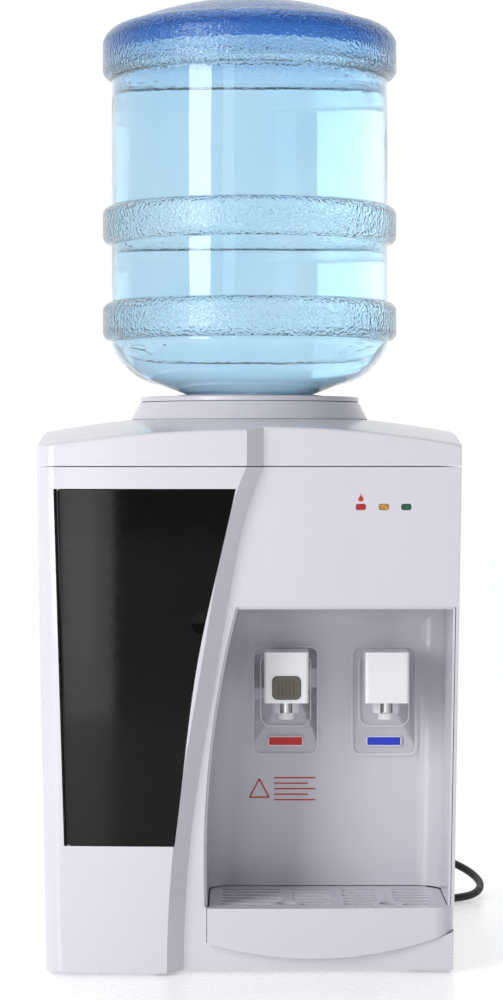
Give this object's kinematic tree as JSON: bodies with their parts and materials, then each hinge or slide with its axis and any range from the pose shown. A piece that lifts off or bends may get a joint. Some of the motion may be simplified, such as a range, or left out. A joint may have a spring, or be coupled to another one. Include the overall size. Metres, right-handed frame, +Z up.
{
  "type": "countertop water dispenser",
  "caption": "Top-loading countertop hot and cold water dispenser: white cabinet with a cup cupboard, two push taps over a lift-out drip tray, and an inverted blue bottle on top.",
  "frame": {"origin": "on the worktop, under the middle of the cabinet", "axes": "+Z up; +X to the right of a person facing the taps; -Y towards that person"},
  "size_m": [0.3815, 0.478, 0.781],
  "materials": {
    "shell_plastic": "smooth gloss white moulding",
    "tray_plastic": "gloss white moulding",
    "tap_plastic": "gloss white moulding",
    "liner_plastic": "satin white moulding",
    "door_gloss": "high-gloss black",
    "rubber_black": "matt black",
    "rear_sheet": "grey painted sheet",
    "screw_steel": "bright plated",
    "seal_rubber": "soft pale seal",
    "bottle_blue": "clear blue bottle plastic",
    "button_grey": "satin grey",
    "clear_plate": "clear plastic",
    "hot_red": "red",
    "cold_blue": "blue",
    "lamp_red": "translucent red lens",
    "lamp_amber": "translucent amber lens",
    "lamp_green": "translucent green lens",
    "board_green": "circuit board",
    "tank_steel": "stainless sheet",
    "foam_grey": "insulating foam",
    "sink_aluminium": "extruded",
    "module_white": "white ceramic",
    "fan_black": "black moulding",
    "supply_metal": "folded steel case",
    "tube_silicone": "translucent silicone",
    "blade_brass": "plated brass"
  },
  "bodies": {
    "cabinet": {"front_shell": "shell_plastic", "left_side_panel": "shell_plastic", "right_side_panel": "shell_plastic", "top_lid": "shell_plastic", "bottle_collar": "shell_plastic", "alcove_liner": "shell_plastic", "tray_shelf": "tray_plastic", "hot_tap_body": "tap_plastic", "cold_tap_body": "tap_plastic", "nozzle_rings": "tap_plastic", "door_pivots": "tap_plastic", "cup_cupboard": "liner_plastic", "cup_shelf": "liner_plastic", "base_pan": "liner_plastic", "tank_cover": "liner_plastic", "drain_outlet": "liner_plastic", "rubber_feet": "rubber_black", "cord_gland": "rubber_black", "power_cord": "rubber_black", "cord_coil": "rubber_black", "plug_body": "rubber_black", "rear_panel": "rear_sheet", "tank_stand": "rear_sheet", "panel_screws": "screw_steel", "tap_nozzles": "screw_steel", "valve_stems": "screw_steel", "tap_fixings": "screw_steel", "tap_plates": "clear_plate", "hot_label": "hot_red", "cold_label": "cold_blue", "hot_lamp": "lamp_red", "power_lamp": "lamp_amber", "cold_lamp": "lamp_green", "indicator_board": "board_green", "cold_tank": "tank_steel", "hot_tank": "tank_steel", "heater_band": "tank_steel", "tank_foam": "foam_grey", "cold_block": "sink_aluminium", "heat_sink": "sink_aluminium", "peltier_module": "module_white", "fan_frame": "fan_black", "switch_housing": "fan_black", "power_supply": "supply_metal", "water_tubes": "tube_silicone", "plug_blades": "blade_brass"},
    "seat": {"seat_ring": "shell_plastic", "seat_gasket": "seal_rubber", "feed_probe": "liner_plastic"},
    "bottle": {"water_bottle": "bottle_blue"},
    "door": {"cupboard_door": "door_gloss"},
    "tray": {"drip_tray": "tray_plastic"},
    "grille": {"drip_grille": "tray_plastic"},
    "hot_lever": {"hot_tap_lever": "tap_plastic"},
    "lock": {"child_lock_button": "button_grey"},
    "cold_lever": {"cold_tap_lever": "tap_plastic"},
    "heater_rocker": {"heater_switch": "fan_black"},
    "power_rocker": {"power_switch": "fan_black"},
    "fan": {"fan_rotor": "fan_black"},
    "cap": {"drain_cap": "fan_black"}
  },
  "joints": [
    {"name": "seat_lift", "type": "slide", "parent": "cabinet", "child": "seat", "axis": [0, 0, 1], "range_m": [0, 0.12]},
    {"name": "bottle_lift", "type": "slide", "parent": "seat", "child": "bottle", "axis": [0, 0, 1], "range_m": [0, 0.15]},
    {"name": "door_hinge", "type": "hinge", "parent": "cabinet", "child": "door", "pos_m": [-0.14471, -0.1566, 0.24], "axis": [0.0304, 0, -0.9995], "range_deg": [0, 90]},
    {"name": "tray_slide", "type": "slide", "parent": "cabinet", "child": "tray", "axis": [0, -1, 0], "range_m": [0, 0.13]},
    {"name": "grille_lift", "type": "slide", "parent": "tray", "child": "grille", "axis": [0, 0, 1], "range_m": [0, 0.05]},
    {"name": "hot_press", "type": "hinge", "parent": "cabinet", "child": "hot_lever", "pos_m": [0.0295, -0.062, 0.24], "axis": [1, 0, 0], "range_deg": [0, 10], "stiffness_Nm_per_rad": 0.4, "springref_deg": -5.73},
    {"name": "lock_press", "type": "slide", "parent": "hot_lever", "child": "lock", "axis": [0, 1, 0], "range_m": [0, 0.0025], "stiffness_N_per_m": 300, "springref_m": -0.002},
    {"name": "cold_press", "type": "hinge", "parent": "cabinet", "child": "cold_lever", "pos_m": [0.11, -0.062, 0.24], "axis": [1, 0, 0], "range_deg": [0, 10], "stiffness_Nm_per_rad": 0.4, "springref_deg": -5.73},
    {"name": "heater_rock", "type": "hinge", "parent": "cabinet", "child": "heater_rocker", "pos_m": [-0.1035, 0.162, 0.072], "axis": [-1, 0, 0], "range_deg": [0, 20]},
    {"name": "power_rock", "type": "hinge", "parent": "cabinet", "child": "power_rocker", "pos_m": [-0.0765, 0.162, 0.072], "axis": [-1, 0, 0], "range_deg": [0, 20]},
    {"name": "fan_spin", "type": "hinge", "parent": "cabinet", "child": "fan", "pos_m": [0, 0.131, 0.34], "axis": [0, 1, 0], "continuous": true},
    {"name": "cap_pull", "type": "slide", "parent": "cabinet", "child": "cap", "axis": [0, 1, 0], "range_m": [0, 0.03]}
  ]
}
